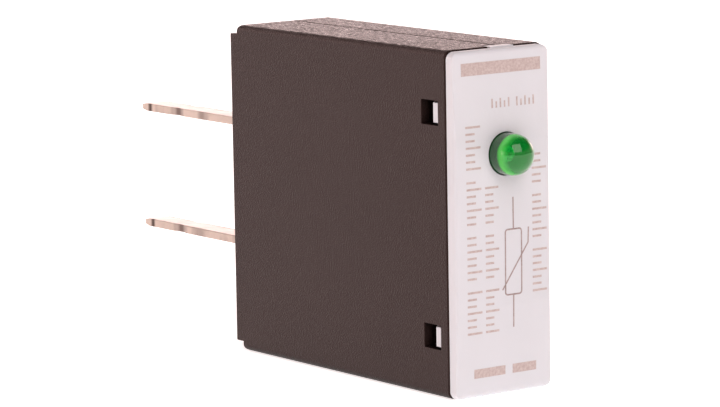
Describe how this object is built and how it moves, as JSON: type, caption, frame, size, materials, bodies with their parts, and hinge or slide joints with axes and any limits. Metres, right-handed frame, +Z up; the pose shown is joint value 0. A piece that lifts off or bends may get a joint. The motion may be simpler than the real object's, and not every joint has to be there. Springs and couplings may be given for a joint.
{
  "type": "plug-in varistor suppressor module",
  "caption": "Narrow black plug-in surge suppressor module with a white front cover, a green indicator LED and flat contact blades at the rear.",
  "frame": {"origin": "centre of the case's bottom face, in the middle of the case's width and depth", "axes": "+Z up, +Y towards the contact blades' tips, -Y out of the white front cover, X across the narrow case"},
  "size_m": [0.0144, 0.079, 0.0415],
  "materials": {
    "case_black": "fine spark-eroded grain",
    "cover_white": "satin moulded",
    "led_green": "tinted clear epoxy",
    "led_chip": "polished crystal",
    "tinned_lead": "tinned wire",
    "tinned_blade": "bright tinned copper alloy",
    "board_green": "solder resist",
    "copper": "coated copper foil",
    "solder": "bright solder",
    "varistor_blue": "dipped epoxy",
    "resistor_beige": "lacquered",
    "diode_black": "moulded epoxy"
  },
  "bodies": {
    "root": {"left_shell": "case_black", "right_shell": "case_black", "front_cover": "cover_white", "led_lens": "led_green", "led_chip": "led_chip", "led_anode_lead": "tinned_lead", "led_cathode_lead": "tinned_lead", "upper_blade": "tinned_blade", "lower_blade": "tinned_blade", "circuit_board": "board_green", "copper_tracks": "copper", "solder_joints": "solder", "varistor_disc": "varistor_blue", "varistor_upper_lead": "tinned_lead", "varistor_lower_lead": "tinned_lead", "resistor_body": "resistor_beige", "resistor_upper_lead": "tinned_lead", "resistor_lower_lead": "tinned_lead", "diode_body": "diode_black", "diode_front_lead": "tinned_lead", "diode_rear_lead": "tinned_lead"}
  },
  "joints": []
}
